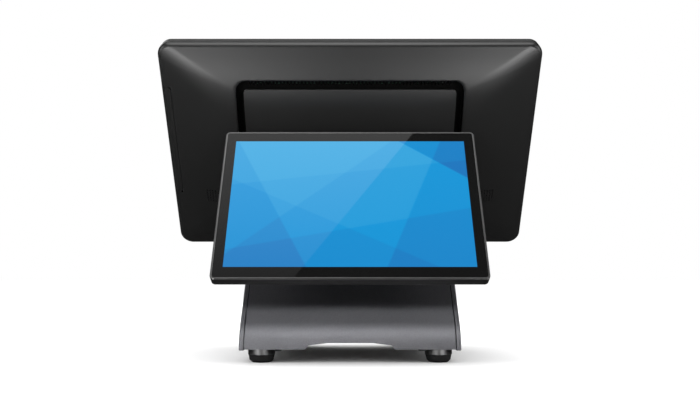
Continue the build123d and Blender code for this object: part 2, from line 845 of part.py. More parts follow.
with BuildPart() as rear_foot_screws:
    posts(Plane.XY, collar_low, floor_top, foot_screw, rear_feet)
    posts(Plane.XY, floor_top, floor_top + 2.5, 2 * foot_screw, rear_feet)
finish(rear_foot_screws.part, "rear_foot_screws")

with BuildPart() as front_foot_pads:
    posts(Plane.XY, 0, foot_top, front_foot_radius, front_feet)
    chamfer(front_foot_pads.edges().filter_by(GeomType.CIRCLE).group_by(Axis.Z)[0], 1.5)
    posts(Plane.XY, foot_top / 2, foot_top, foot_screw, front_feet, Mode.SUBTRACT)
finish(front_foot_pads.part, "front_foot_pads")

with BuildPart() as front_foot_screws:
    posts(Plane.XY, foot_top / 2, floor_top, foot_screw, front_feet)
    posts(Plane.XY, floor_top, floor_top + 2.5, 2 * foot_screw, front_feet)
finish(front_foot_screws.part, "front_foot_screws")

with BuildPart() as underside_bumpers:
    for side in (-1, 1):
        slab(
            Plane.XY, stand_floor - bumper_drop, stand_floor, bumper_width, bumper_length,
            at=(side * bumper_x, back_y - 3 - bumper_length / 2), radius=2,
        )
finish(underside_bumpers.part, "underside_bumpers")

supply_y = back_y - supply_front + supply_length / 2

with BuildPart() as power_supply:
    slab(
        Plane.XY, floor_top, floor_top + supply_height, supply_width, supply_length,
        at=(supply_x, supply_y), radius=4,
    )
    fillet(power_supply.faces().sort_by(Axis.Z)[-1].edges(), 2)
finish(power_supply.part, "power_supply")

with BuildPart() as power_supply_strap:
    slab(
        Plane.XY, floor_top, floor_top + supply_height + strap_thickness,
        supply_width + 2 * strap_thickness, strap_width, at=(supply_x, supply_y),
    )
    slab(
        Plane.XY, floor_top, floor_top + supply_height, supply_width, strap_width,
        at=(supply_x, supply_y), mode=Mode.SUBTRACT,
    )
finish(power_supply_strap.part, "power_supply_strap")

# ---------------------------------------------------------------- customer display: arm and hinge

arm_rear_low = web_low[0] + web_run * (arm_bottom - web_low[1])
arm_rear_high = web_low[0] + web_run * (arm_top - web_low[1])

with BuildPart() as display_arm:
    prism(
        Plane.YZ, -arm_half, arm_half,
        [
            yz(arm_rear_low, arm_bottom), yz(display_hinge_back, display_hinge_height - arm_radius),
            yz(display_hinge_back, display_hinge_height + arm_radius), yz(arm_rear_high, arm_top),
        ],
    )
    posts(Plane.YZ, -arm_half, arm_half, arm_radius, [(display_hinge_y, display_hinge_height)])
    slab(web, 0, arm_flange, 50, 44, radius=4)
    posts(web, 0, arm_flange, screw_radius, arm_places, Mode.SUBTRACT)
    posts(
        Plane.YZ, -arm_half, arm_half, display_pin + running_gap,
        [(display_hinge_y, display_hinge_height)], Mode.SUBTRACT,
    )
finish(display_arm.part, "display_arm")

with BuildPart() as display_arm_screws:
    posts(web, -web_thickness, arm_flange, screw_radius, arm_places)
    posts(web, arm_flange, arm_flange + screw_head_height, screw_head, arm_places)
finish(display_arm_screws.part, "display_arm_screws")

display_ear_low = arm_half + running_gap + display_washer
display_back = -display_bezel_depth - display_shell_depth
display_bracket_back = display_back - display_bracket_thickness
display_screws = corners(22, 18, -display_hinge_drop)

with BuildPart() as customer_display_hinge_bracket:
    slab(
        display, display_bracket_back, display_back, display_bracket_width, display_bracket_height,
        at=(0, -display_hinge_drop), radius=3,
    )
    posts(display, display_bracket_back, display_back, screw_radius, display_screws, Mode.SUBTRACT)
    for low in (display_ear_low, -display_ear_low - display_ear):
        prism(
            display_side, low, low + display_ear,
            [
                (-display_hinge_drop - display_ear_radius, -display_hinge_reach),
                (-display_hinge_drop - 18, display_bracket_back),
                (-display_hinge_drop + 18, display_bracket_back),
                (-display_hinge_drop + display_ear_radius, -display_hinge_reach),
            ],
        )
        posts(
            display_side, low, low + display_ear, display_ear_radius,
            [(-display_hinge_drop, -display_hinge_reach)],
        )
        posts(
            display_side, low, low + display_ear, display_pin,
            [(-display_hinge_drop, -display_hinge_reach)], Mode.SUBTRACT,
        )
finish(customer_display_hinge_bracket.part, "customer_display_hinge_bracket")

with BuildPart() as customer_display_hinge_shaft:
    shaft_half = display_ear_low + display_ear + 2
    posts(
        Plane.YZ, -shaft_half, shaft_half, display_pin, [(display_hinge_y, display_hinge_height)]
    )
finish(customer_display_hinge_shaft.part, "customer_display_hinge_shaft")

with BuildPart() as customer_display_hinge_washers:
    for low in (display_ear_low - display_washer + running_gap, -display_ear_low):
        posts(
            Plane.YZ, low, low + display_washer - running_gap, display_ear_radius - 1,
            [(display_hinge_y, display_hinge_height)],
        )
    posts(
        Plane.YZ, -display_ear_low, display_ear_low, display_pin,
        [(display_hinge_y, display_hinge_height)], Mode.SUBTRACT,
    )
finish(customer_display_hinge_washers.part, "customer_display_hinge_washers")

# ---------------------------------------------------------------- customer display: case and screen

display_shell_size = (display_width - 2 * display_shell_inset, display_height - 2 * display_shell_inset)
display_glass_size = (display_width - 2 * display_rim, display_height - 2 * display_rim)


def display_housing(inset):
    """Tapered housing behind the display bezel, drawn in by inset."""
    with BuildPart() as housing:
        with BuildSketch(display.offset(-display_bezel_depth)):
            RectangleRounded(
                display_shell_size[0] - 2 * inset, display_shell_size[1] - 2 * inset, 6
            )
        with BuildSketch(display.offset(display_back + inset)):
            RectangleRounded(
                display_shell_size[0] - 2 * inset - 2 * display_shell_taper,
                display_shell_size[1] - 2 * inset - 2 * display_shell_taper, 10,
            )
        loft()
    return housing.part


display_housing_outside = display_housing(0)
display_housing_inside = display_housing(display_shell_wall)

with BuildPart() as customer_display_bezel:
    slab(
        display, -display_bezel_depth, -trim_height, display_width, display_height,
        radius=display_corner,
    )
    slab(
        display, -display_bezel_depth, 0, display_width - 2 * display_ledge,
        display_height - 2 * display_ledge, radius=2, mode=Mode.SUBTRACT,
    )
    slab(
        display, -display_glass, 0, display_glass_size[0] + 0.4, display_glass_size[1] + 0.4,
        radius=display_corner - display_rim + 0.2, mode=Mode.SUBTRACT,
    )
finish(customer_display_bezel.part, "customer_display_bezel")

with BuildPart() as customer_display_edge_trim:
    slab(display, -trim_height, 0, display_width, display_height, radius=display_corner)
    trim_face = customer_display_edge_trim.faces().sort_by(Axis(display.origin, display.z_dir))[-1]
    chamfer(trim_face.edges(), trim_chamfer)
    slab(
        display, -trim_height, 0, display_glass_size[0] + 0.4, display_glass_size[1] + 0.4,
        radius=display_corner - display_rim + 0.2, mode=Mode.SUBTRACT,
    )
finish(customer_display_edge_trim.part, "customer_display_edge_trim")

with BuildPart() as customer_display_glass:
    slab(
        display, -display_glass, 0, display_glass_size[0], display_glass_size[1],
        radius=display_corner - display_rim,
    )
finish(customer_display_glass.part, "customer_display_glass")

with BuildPart() as customer_display_lcd_panel:
    slab(
        display, -display_glass - display_panel_depth, -display_glass,
        display_width - 2 * display_ledge - 2 * display_panel_gap,
        display_height - 2 * display_ledge - 2 * display_panel_gap,
    )
finish(customer_display_lcd_panel.part, "customer_display_lcd_panel")

with BuildPart() as customer_display_rear_shell:
    add(display_housing_outside)
    add(display_housing_inside, mode=Mode.SUBTRACT)
    posts(
        display, display_back, display_back + display_shell_wall, screw_radius,
        display_screws, Mode.SUBTRACT,
    )
finish(customer_display_rear_shell.part, "customer_display_rear_shell")

with BuildPart() as customer_display_bracket_screws:
    posts(display, display_bracket_back, display_back + display_shell_wall, screw_radius, display_screws)
    posts(
        display, display_back + display_shell_wall, display_back + display_shell_wall + 2,
        screw_head, display_screws,
    )
finish(customer_display_bracket_screws.part, "customer_display_bracket_screws")

display_board_low = display_back + display_shell_wall + display_standoff
display_board_posts = corners(
    display_board_width / 2 - 5, display_board_height / 2 - 5, display_board_y
)

with BuildPart() as customer_display_standoffs:
    posts(
        display, display_back + display_shell_wall, display_board_low, standoff_radius,
        display_board_posts,
    )
finish(customer_display_standoffs.part, "customer_display_standoffs")

with BuildPart() as customer_display_board:
    slab(
        display, display_board_low, display_board_low + board_thickness, display_board_width,
        display_board_height, at=(0, display_board_y),
    )
    slab(
        display, display_board_low + board_thickness, display_board_low + board_thickness + 2,
        18, 18, at=(-20, display_board_y),
    )
finish(customer_display_board.part, "customer_display_board")
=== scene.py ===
import bpy
import mathutils
import bmesh
import json
import numpy as np
from math import cos, radians, sin, pi
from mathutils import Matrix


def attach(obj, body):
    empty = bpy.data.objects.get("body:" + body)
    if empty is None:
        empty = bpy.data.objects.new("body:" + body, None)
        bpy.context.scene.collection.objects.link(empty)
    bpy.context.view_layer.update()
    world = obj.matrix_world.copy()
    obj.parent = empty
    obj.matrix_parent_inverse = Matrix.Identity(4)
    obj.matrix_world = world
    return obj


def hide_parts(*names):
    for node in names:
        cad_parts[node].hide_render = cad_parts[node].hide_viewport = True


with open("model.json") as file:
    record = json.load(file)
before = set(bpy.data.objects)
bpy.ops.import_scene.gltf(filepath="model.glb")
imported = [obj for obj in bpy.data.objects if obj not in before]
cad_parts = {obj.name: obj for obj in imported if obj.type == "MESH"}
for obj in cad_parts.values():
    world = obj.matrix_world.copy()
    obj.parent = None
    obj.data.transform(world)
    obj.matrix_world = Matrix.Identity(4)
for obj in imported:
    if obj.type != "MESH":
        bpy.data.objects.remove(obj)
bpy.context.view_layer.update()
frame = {"nodes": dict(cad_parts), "record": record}
print("frame loaded")

# camera and studio

studio = {
    "cameraPlace": (0.0, 0.7277, 0.0714),
    "cameraPitch": 6.2,              # degrees above level
    "lens": 37.7,
    "floorSize": 90.0,
    "floorColour": (0.97, 0.97, 0.97, 1),
    "skySeen": 1.0,
    "skyLight": 1.06,
    "skyReflected": 0.045,
}
card = {
    # a leaning white card above the customer's side, seen only in the glass
    "centre": (0.0, 0.8077, 1.4451),
    "across": (1.0, 0.0, 0.0),
    "upward": (0.0, 0.8713, -0.4908),
    "edgeTop": (-0.186, -0.212),     # where its slanting edge passes, in metres on the card
    "edgeBottom": (0.177, 0.227),
    "width": 0.95,
    "overrun": 0.6,
    "bright": 1.25,
    "dim": 0.10,
    "fadeFrom": -0.34,
    "fadeTo": 0.33,
}


def glareCard(values):
    # a parallelogram on one side of the slanting edge, its glow fading down the card
    top, bottom = np.array(values["edgeTop"]), np.array(values["edgeBottom"])
    along = (bottom - top) / np.linalg.norm(bottom - top)
    side = np.array([along[1], -along[0]])
    start, end = top - along * values["overrun"], bottom + along * values["overrun"]
    flat = [start, end, end + side * values["width"], start + side * values["width"]]
    centre, across, upward = (np.array(values[key]) for key in ("centre", "across", "upward"))
    mesh = bpy.data.meshes.new("glareCard")
    mesh.from_pydata([tuple(centre + u * across + v * upward) for u, v in flat], [], [(0, 1, 2, 3)])
    made = bpy.data.objects.new("glareCard", mesh)
    bpy.context.scene.collection.objects.link(made)
    made.visible_camera = made.visible_shadow = made.visible_diffuse = False
    glow = bpy.data.materials.new("cardGlow")
    glow.use_nodes = True
    tree = glow.node_tree
    tree.nodes.clear()
    where = tree.nodes.new("ShaderNodeTexCoord")
    dot = tree.nodes.new("ShaderNodeVectorMath")
    dot.operation = "DOT_PRODUCT"
    dot.inputs[1].default_value = tuple(upward)
    level = tree.nodes.new("ShaderNodeMapRange")
    middle = float(np.dot(upward, centre))
    level.inputs["From Min"].default_value = middle + values["fadeFrom"]
    level.inputs["From Max"].default_value = middle + values["fadeTo"]
    level.inputs["To Min"].default_value = values["bright"]
    level.inputs["To Max"].default_value = values["dim"]
    shine = tree.nodes.new("ShaderNodeEmission")
    out = tree.nodes.new("ShaderNodeOutputMaterial")
    tree.links.new(where.outputs["Object"], dot.inputs[0])
    tree.links.new(dot.outputs["Value"], level.inputs["Value"])
    tree.links.new(level.outputs[0], shine.inputs["Strength"])
    tree.links.new(shine.outputs[0], out.inputs["Surface"])
    mesh.materials.append(glow)


lamps = {
    "overhead": {"place": (0, -0.10, 1.6), "target": (0, 0, 0.15), "size": (1.5, 0.9), "power": 9},
    "lowFrontLeft": {
        "place": (0.60, 0.90, 0.08), "target": (0.17, 0, 0.30), "size": (0.62, 0.56),
        "power": 0.85, "spread": 34,
    },
    "lowFrontRight": {
        "place": (-0.60, 0.90, 0.08), "target": (-0.17, 0, 0.30), "size": (0.62, 0.56),
        "power": 0.85, "spread": 34,
    },
    "sideLeft": {"place": (1.5, 0.4, 0.8), "target": (0, 0, 0.12), "size": (0.5, 1.0), "power": 7},
    "sideRight": {"place": (-1.5, 0.4, 0.8), "target": (0, 0, 0.12), "size": (0.5, 1.0), "power": 7},
    "standSheen": {
        "place": (0, 1.130, 0.79), "target": (0, 0.08, 0.035), "size": (0.9, 0.24),
        "power": 1.15, "spread": 60,
    },
    "operatorSide": {
        "place": (0.5, -1.7, 1.0), "target": (0, -0.05, 0.15), "size": (1.4, 1.0), "power": 16,
    },
}
# the sheen lamp lights these alone, so that it doesn't show in the glass
sheenNodes = ("base_rear_cover", "base_end_cap_left", "base_end_cap_right", "rear_foot_collars")


def areaLight(name, values):
    # a rectangular lamp turned from its place towards its target, its beam as wide as its spread
    light = bpy.data.lights.new(name, "AREA")
    light.shape = "RECTANGLE"
    light.size, light.size_y = values["size"]
    light.energy = values["power"]
    light.spread = radians(values.get("spread", 180))
    lamp = bpy.data.objects.new(name, light)
    bpy.context.scene.collection.objects.link(lamp)
    aim = mathutils.Vector(values["target"]) - mathutils.Vector(values["place"])
    turned = aim.to_track_quat("-Z", "Y").to_matrix().to_4x4()
    lamp.matrix_world = mathutils.Matrix.Translation(values["place"]) @ turned
    return lamp


def makeStudio(values):
    # camera, wide floor, a sky with its own strength for each kind of ray, and the lamps
    camera = bpy.data.cameras.new("camera")
    camera.lens = values["lens"]
    camera.sensor_width = 36.0
    camera.clip_start = 0.01
    viewer = bpy.data.objects.new("camera", camera)
    viewer.location = values["cameraPlace"]
    viewer.rotation_euler = (radians(90 + values["cameraPitch"]), 0, pi)
    scene = bpy.context.scene
    scene.collection.objects.link(viewer)
    scene.camera = viewer
    scene.view_settings.view_transform = "Standard"

    half = values["floorSize"] / 2
    floorMesh = bpy.data.meshes.new("floor")
    floorMesh.from_pydata(
        [(-half, -half, 0), (half, -half, 0), (half, half, 0), (-half, half, 0)], [], [(0, 1, 2, 3)]
    )
    floor = bpy.data.objects.new("floor", floorMesh)
    scene.collection.objects.link(floor)
    floor.visible_glossy = False
    pale = bpy.data.materials.new("paleFloor")
    pale.use_nodes = True
    surface = pale.node_tree.nodes["Principled BSDF"]
    surface.inputs["Base Color"].default_value = values["floorColour"]
    surface.inputs["Roughness"].default_value = 0.9
    surface.inputs["Specular IOR Level"].default_value = 0.0
    floorMesh.materials.append(pale)

    world = bpy.data.worlds.new("studioSky")
    world.use_nodes = True
    tree = world.node_tree
    tree.nodes.clear()
    path = tree.nodes.new("ShaderNodeLightPath")
    out = tree.nodes.new("ShaderNodeOutputWorld")
    layers = []
    for strength in (values["skyReflected"], values["skyLight"], values["skySeen"]):
        layer = tree.nodes.new("ShaderNodeBackground")
        layer.inputs["Color"].default_value = (1, 1, 1, 1)
        layer.inputs["Strength"].default_value = strength
        layers.append(layer.outputs[0])
    shown = layers[0]
    for layer, ray in zip(layers[1:], ("Is Diffuse Ray", "Is Camera Ray")):
        mix = tree.nodes.new("ShaderNodeMixShader")
        tree.links.new(path.outputs[ray], mix.inputs[0])
        tree.links.new(shown, mix.inputs[1])
        tree.links.new(layer, mix.inputs[2])
        shown = mix.outputs[0]
    tree.links.new(shown, out.inputs["Surface"])
    scene.world = world

    made = {name: areaLight(name, lamp) for name, lamp in lamps.items()}
    receivers = bpy.data.collections.new("sheenReceivers")
    for node in sheenNodes:
        receivers.objects.link(frame["nodes"][node])
    made["standSheen"].light_linking.receiver_collection = receivers
    glareCard(card)


makeStudio(studio)
print("studio ready")

# where the head and the customer display stand

joints = {joint["name"]: joint for joint in frame["record"]["behaviour"]["joints"]}


class Leaning:
    # a tilted frame: local x, v up the face and w out of its front, in metres
    def __init__(self, hinge, lean, drop, reach, facing):
        self.sine, self.cosine, self.facing = sin(radians(lean)), cos(radians(lean)), facing
        self.up = np.array([0, -facing * self.sine, self.cosine])
        self.front = np.array([0, facing * self.cosine, self.sine])
        self.centre = np.array(hinge) + drop * self.up + reach * self.front

    def place(self, x, v, w):
        x, v, w = np.broadcast_arrays(x, v, w)
        flat = np.stack([x, np.zeros_like(x), np.zeros_like(x)], axis=-1)
        return self.centre + flat + v[..., None] * self.up + w[..., None] * self.front


head = Leaning(joints["head_tilt"]["pos_m"], 35.1, 0.040, 0.036, -1)
display = Leaning(joints["customer_display_tilt"]["pos_m"], 27.4, 0.020, 0.034, 1)

# shader sums


class Value:
    # a shader socket that takes part in ordinary sums
    def __init__(self, finish, socket):
        self.finish, self.socket = finish, socket

    def sum(self, operation, *others, first=None):
        parts = [self if first is None else first, *others]
        return self.finish.node("ShaderNodeMath", {"operation": operation}, parts)

    def __add__(self, other): return self.sum("ADD", other)
    def __radd__(self, other): return self.sum("ADD", other)
    def __sub__(self, other): return self.sum("SUBTRACT", other)
    def __rsub__(self, other): return self.sum("SUBTRACT", self, first=other)
    def __mul__(self, other): return self.sum("MULTIPLY", other)
    def __rmul__(self, other): return self.sum("MULTIPLY", other)
    def __truediv__(self, other): return self.sum("DIVIDE", other)
    def __gt__(self, other): return self.sum("GREATER_THAN", other)
    def __lt__(self, other): return self.sum("LESS_THAN", other)
    def __abs__(self): return self.sum("ABSOLUTE")
    def least(self, other): return self.sum("MINIMUM", other)
    def most(self, other): return self.sum("MAXIMUM", other)
    def remainder(self, other): return self.sum("MODULO", other)
    def floor(self): return self.sum("FLOOR")


class Finish:
    # a material on object coordinates, built around one Principled surface
    def __init__(self, name, **fixed):
        self.material = bpy.data.materials.new(name)
        self.material.use_nodes = True
        self.tree = self.material.node_tree
        self.surface = self.tree.nodes["Principled BSDF"]
        self.coordinates = self.node("ShaderNodeTexCoord", output="Object")
        for socket, value in fixed.items():
            self.surface.inputs[socket.replace("_", " ")].default_value = value

    def node(self, kind, settings=None, values=(), output=0):
        made = self.tree.nodes.new(kind)
        for key, value in (settings or {}).items():
            if key == "stops":
                ramp = made.color_ramp.elements
                while len(ramp) < len(value):
                    ramp.new(0.5)
                for element, (position, colour) in zip(ramp, value):
                    element.position, element.color = position, colour
            else:
                setattr(made, key, value)
        pairs = values.items() if isinstance(values, dict) else enumerate(values)
        for key, value in pairs:
            if isinstance(value, Value):
                self.tree.links.new(value.socket, made.inputs[key])
            else:
                made.inputs[key].default_value = value
        return Value(self, made.outputs[output])

    def drive(self, socket, value):
        self.tree.links.new(value.socket, self.surface.inputs[socket])

    def noise(self, scale, detail=2.0, stretch=None):
        where = self.coordinates
        if stretch:
            where = self.node("ShaderNodeMapping", values={"Vector": where, "Scale": stretch})
        return self.node(
            "ShaderNodeTexNoise", values={"Vector": where, "Scale": scale, "Detail": detail},
            output=0,
        )

    def ramp(self, amount, stops):
        return self.node("ShaderNodeValToRGB", {"stops": stops}, [amount])

    def blend(self, share, low, high):
        return self.node(
            "ShaderNodeMix", {"data_type": "RGBA"}, {0: share, 6: low, 7: high}, output=2
        )

    def bump(self, height, strength, distance):
        bumped = self.node(
            "ShaderNodeBump", values={"Height": height, "Strength": strength, "Distance": distance}
        )
        self.drive("Normal", bumped)

    def along(self, direction, origin):
        # distance along a direction, from an origin
        dot = self.node(
            "ShaderNodeVectorMath", {"operation": "DOT_PRODUCT"},
            [self.coordinates, tuple(direction)], output="Value",
        )
        return dot - float(np.dot(direction, origin))


def grey(level, tint=(1, 1, 1)):
    return (level * tint[0], level * tint[1], level * tint[2], 1)


def texturedPlastic(name, dark, light, roughness, grainScale, grainDepth, specular, tint=(1, 1, 1)):
    # moulded plastic: slow change of colour and gloss, and a fine even texture
    finish = Finish(name, Specular_IOR_Level=specular)
    slow = finish.noise(9.0, 3.0)
    finish.drive("Base Color", finish.blend(slow, grey(dark, tint), grey(light, tint)))
    fine = finish.noise(grainScale, 1.5)
    finish.drive("Roughness", roughness + 0.10 * slow + 0.06 * fine)
    finish.bump(fine, 0.35, grainDepth)
    return finish.material


def metallicPaint(name, values):
    # dark metallic paint: flakes a few tenths of a millimetre across under a satin surface
    finish = Finish(name, Metallic=values["metallic"])
    flake = finish.node(
        "ShaderNodeTexVoronoi", {"feature": "F1"},
        {"Vector": finish.coordinates, "Scale": values["flakeScale"]}, output="Color",
    )
    sparkle = finish.node("ShaderNodeSeparateColor", values=[flake], output=0)
    slow = finish.noise(12.0, 2.0)
    shade = 0.75 * sparkle + 0.25 * slow
    dark, light = (grey(values[key], values["tint"]) for key in ("dark", "light"))
    finish.drive("Base Color", finish.blend(shade, dark, light))
    finish.drive("Roughness", values["roughness"] + 0.12 * sparkle)
    finish.bump(sparkle, 0.12, 0.00005)
    return finish.material


def platedMetal(name, low, high, roughness, tint=(1, 1, 1), stretch=(1, 30, 30)):
    # turned or pressed metal with faint drawn lines
    finish = Finish(name, Metallic=1.0)
    lines = finish.noise(160.0, 2.0, stretch)
    finish.drive("Base Color", finish.blend(lines, grey(low, tint), grey(high, tint)))
    finish.drive("Roughness", roughness + 0.15 * lines)
    finish.bump(lines, 0.08, 0.00004)
    return finish.material


def rubber(name, level):
    finish = Finish(name, Specular_IOR_Level=0.25)
    fine = finish.noise(900.0, 2.0)
    finish.drive("Base Color", finish.blend(fine, grey(level * 0.7), grey(level * 1.3)))
    finish.drive("Roughness", 0.72 + 0.15 * fine)
    finish.bump(fine, 0.3, 0.00008)
    return finish.material


def circuitBoard(name):
    finish = Finish(name)
    tracks = finish.node(
        "ShaderNodeTexBrick", {"offset": 0.5},
        {"Vector": finish.coordinates, "Scale": 120.0, "Mortar Size": 0.08}, output="Fac",
    )
    finish.drive("Base Color", finish.blend(tracks, (0.003, 0.012, 0.008, 1), (0.012, 0.045, 0.028, 1)))
    finish.drive("Roughness", 0.35 + 0.2 * finish.noise(300.0))
    return finish.material


shellPlastic = texturedPlastic("shellPlastic", 0.0060, 0.0080, 0.30, 2600.0, 0.00004, 0.42)
coverPlastic = texturedPlastic("coverPlastic", 0.0060, 0.0085, 0.34, 2600.0, 0.00004, 0.42)
# near-black and almost unreflective: painted shade on the head's recess pan and on the speakers seen
# through the grille holes, plain black on the hidden power supply and switch
blackAndPaintedShade = texturedPlastic("blackAndPaintedShade", 0.001, 0.002, 0.8, 1500.0, 0.00005, 0.05)
bezelPlastic = texturedPlastic("bezelPlastic", 0.012, 0.017, 0.34, 2400.0, 0.00005, 0.34, (0.97, 1, 0.98))
displayPlastic = texturedPlastic("displayPlastic", 0.008, 0.012, 0.38, 2400.0, 0.00005, 0.4)
housingPlastic = texturedPlastic("housingPlastic", 0.035, 0.048, 0.42, 2200.0, 0.00006, 0.4)
standPaint = metallicPaint("standPaint", {
    "metallic": 1.0,
    "flakeScale": 4200.0,
    "dark": 0.13,
    "light": 0.25,
    "roughness": 0.50,
    "tint": (0.98, 0.98, 1.05),
})
footMetal = platedMetal("footMetal", 0.12, 0.18, 0.40)
trimMetal = platedMetal("trimMetal", 0.22, 0.32, 0.34)
steel = platedMetal("platedSteel", 0.38, 0.52, 0.30)
darkSteel = platedMetal("darkSteel", 0.05, 0.08, 0.42)
brass = platedMetal("brassInsert", 0.5, 0.62, 0.3, (1, 0.78, 0.4))
aluminium = platedMetal("finnedAluminium", 0.6, 0.75, 0.35)
footRubber = rubber("footRubber", 0.012)
board = circuitBoard("circuitBoard")


def facetedPicture(finish, across, upward, halfWidth, halfHeight):
    # overlapping translucent facets in blues, each a half plane with its own slope
    x, y = across / halfWidth, upward / halfHeight
    brightness = 0.57 + 0.03 * y
    for slopeX, slopeY, offset, step in (
        (0.62, 0.78, -0.35, 0.05), (-0.80, 0.60, 0.30, 0.06), (0.30, -0.95, 0.40, -0.06),
        (0.97, -0.24, 0.52, -0.09), (-0.95, -0.30, 0.62, -0.09), (-0.20, 0.98, 0.45, 0.05),
        (0.74, 0.67, 0.98, -0.20),
    ):
        edge = x * slopeX + y * slopeY - offset
        inside = (edge * 60.0).most(0.0).least(1.0)
        brightness = brightness + step * inside
    return finish.ramp(brightness, [
        (0.0, (0.008, 0.050, 0.26, 1)), (0.30, (0.010, 0.16, 0.50, 1)),
        (0.55, (0.004, 0.32, 0.72, 1)), (0.80, (0.06, 0.45, 0.80, 1)), (1.0, (0.22, 0.62, 0.88, 1)),
    ])


def tilePicture(finish, across, upward, halfWidth, halfHeight):
    # a plain till screen: pale order list on one side, a grid of coloured keys on the other
    x, y = across / halfWidth, upward / halfHeight
    column = (x + 1.0) * 5.0
    row = (y + 1.0) * 3.5
    inX = abs(column.remainder(1.0) - 0.5) < 0.44
    inY = abs(row.remainder(1.0) - 0.5) < 0.42
    key = inX * inY
    shade = (column.floor() * 0.37 + row.floor() * 0.23).remainder(1.0)
    keyColour = finish.ramp(shade, [
        (0.0, (0.02, 0.22, 0.42, 1)), (0.3, (0.05, 0.40, 0.38, 1)), (0.55, (0.55, 0.30, 0.06, 1)),
        (0.8, (0.12, 0.20, 0.45, 1)), (1.0, (0.42, 0.10, 0.12, 1)),
    ])
    grid = finish.blend(key, (0.030, 0.036, 0.045, 1), keyColour)
    stripe = abs((y * 9.0).remainder(1.0)) < 0.12
    paper = finish.blend(stripe, (0.60, 0.63, 0.66, 1), (0.42, 0.46, 0.50, 1))
    listSide = x < -0.42
    page = finish.blend(listSide, grid, paper)
    return finish.blend(y > 0.86, page, (0.015, 0.12, 0.26, 1))


def litGlass(name, place, facing, halfWidth, halfHeight, picture, strength, borderLevel):
    # glass with a black printed border round a lit picture
    finish = Finish(name, Roughness=0.06, Specular_IOR_Level=0.5, Emission_Strength=strength)
    across = finish.along((-facing, 0, 0), place.centre)
    upward = finish.along(place.up, place.centre)
    inside = (abs(across) < halfWidth) * (abs(upward) < halfHeight)
    inside = inside * (finish.along(place.front, place.centre) > -0.0008)
    colour = picture(finish, across, upward, halfWidth, halfHeight)
    finish.drive("Emission Color", finish.blend(inside, (0, 0, 0, 1), colour))
    smudge = finish.noise(18.0, 4.0)
    finish.drive("Base Color", finish.blend(smudge, grey(borderLevel), grey(borderLevel * 1.4)))
    finish.drive("Roughness", 0.012 + 0.012 * smudge)
    return finish.material


customerScreen = litGlass(
    "customerScreen", display, 1, 0.10848, 0.0678, facetedPicture, 0.95, 0.004
)
headFront = Leaning(joints["head_tilt"]["pos_m"], 35.1, 0.040, 0.036 + 0.012, -1)
operatorScreen = litGlass(
    "operatorScreen", headFront, -1, 0.1721, 0.09675, tilePicture, 0.8, 0.004
)

nodeFinish = {
    "head_rear_shell": shellPlastic, "head_side_cover": shellPlastic, "head_cable_cover": coverPlastic,
    # the recess pan and the speakers take the near-black finish as painted shade in the recess and the
    # grille holes
    "head_recess_pan": blackAndPaintedShade, "head_front_bezel": bezelPlastic, "power_button": bezelPlastic,
    "head_touch_glass": operatorScreen, "head_glass_gasket": footRubber, "head_lcd_panel": steel,
    "head_chassis_plate": steel, "head_main_board": board, "head_board_standoffs": brass,
    "head_board_screws": darkSteel, "head_heat_spreader": aluminium, "solid_state_drive": board,
    "head_speakers": blackAndPaintedShade, "head_pan_screws": darkSteel, "head_port_board": board,
    "head_port_blocks": steel, "head_hinge_bracket": darkSteel, "head_bracket_screws": darkSteel,
    "power_button_switch": blackAndPaintedShade, "base_bottom_plate": darkSteel, "cable_grommet": footRubber,
    "base_rear_cover": standPaint, "base_front_cover": standPaint, "base_end_cap_left": standPaint,
    "base_end_cap_right": standPaint, "stand_spine": darkSteel, "stand_spine_screws": darkSteel,
    "head_hinge_shafts": steel, "head_hinge_washers": steel, "head_hinge_nuts": steel,
    "rear_foot_collars": footMetal, "rear_foot_pads": footRubber, "rear_foot_screws": darkSteel,
    "front_foot_pads": footRubber, "front_foot_screws": darkSteel, "underside_bumpers": footRubber,
    "power_supply": blackAndPaintedShade, "power_supply_strap": steel, "display_arm": darkSteel,
    "display_arm_screws": darkSteel, "customer_display_hinge_bracket": darkSteel,
    "customer_display_hinge_shaft": steel, "customer_display_hinge_washers": steel,
    "customer_display_bezel": displayPlastic, "customer_display_edge_trim": trimMetal,
    "customer_display_glass": customerScreen, "customer_display_lcd_panel": steel,
    "customer_display_rear_shell": housingPlastic, "customer_display_bracket_screws": darkSteel,
    "customer_display_standoffs": brass, "customer_display_board": board,
}
for node, material in nodeFinish.items():
    cadObject = frame["nodes"][node]
    cadObject.data.materials.clear()
    cadObject.data.materials.append(material)
print("finishes assigned")

# numpy surfaces


def gridMesh(name, rows, material, wrapRows=False, angle=40.0):
    # quads between neighbouring rows of a grid of points; each row closes on itself
    count, around = rows.shape[:2]
    index = np.arange(count * around).reshape(count, around)
    if wrapRows:
        index = np.vstack([index, index[:1]])
    first, second = index[:-1], index[1:]
    quads = np.stack(
        [first, np.roll(first, -1, 1), np.roll(second, -1, 1), second], axis=-1
    ).reshape(-1, 4)
    mesh = bpy.data.meshes.new(name)
    mesh.from_pydata(rows.reshape(-1, 3).tolist(), [], quads.tolist())
    editing = bmesh.new()
    editing.from_mesh(mesh)
    bmesh.ops.remove_doubles(editing, verts=editing.verts, dist=1e-7)
    bmesh.ops.recalc_face_normals(editing, faces=editing.faces)
    editing.to_mesh(mesh)
    editing.free()
    mesh.polygons.foreach_set("use_smooth", np.ones(len(mesh.polygons), dtype=bool))
    mesh.set_sharp_from_angle(angle=radians(angle))
    mesh.materials.append(material)
    made = bpy.data.objects.new(name, mesh)
    bpy.context.scene.collection.objects.link(made)
    return made


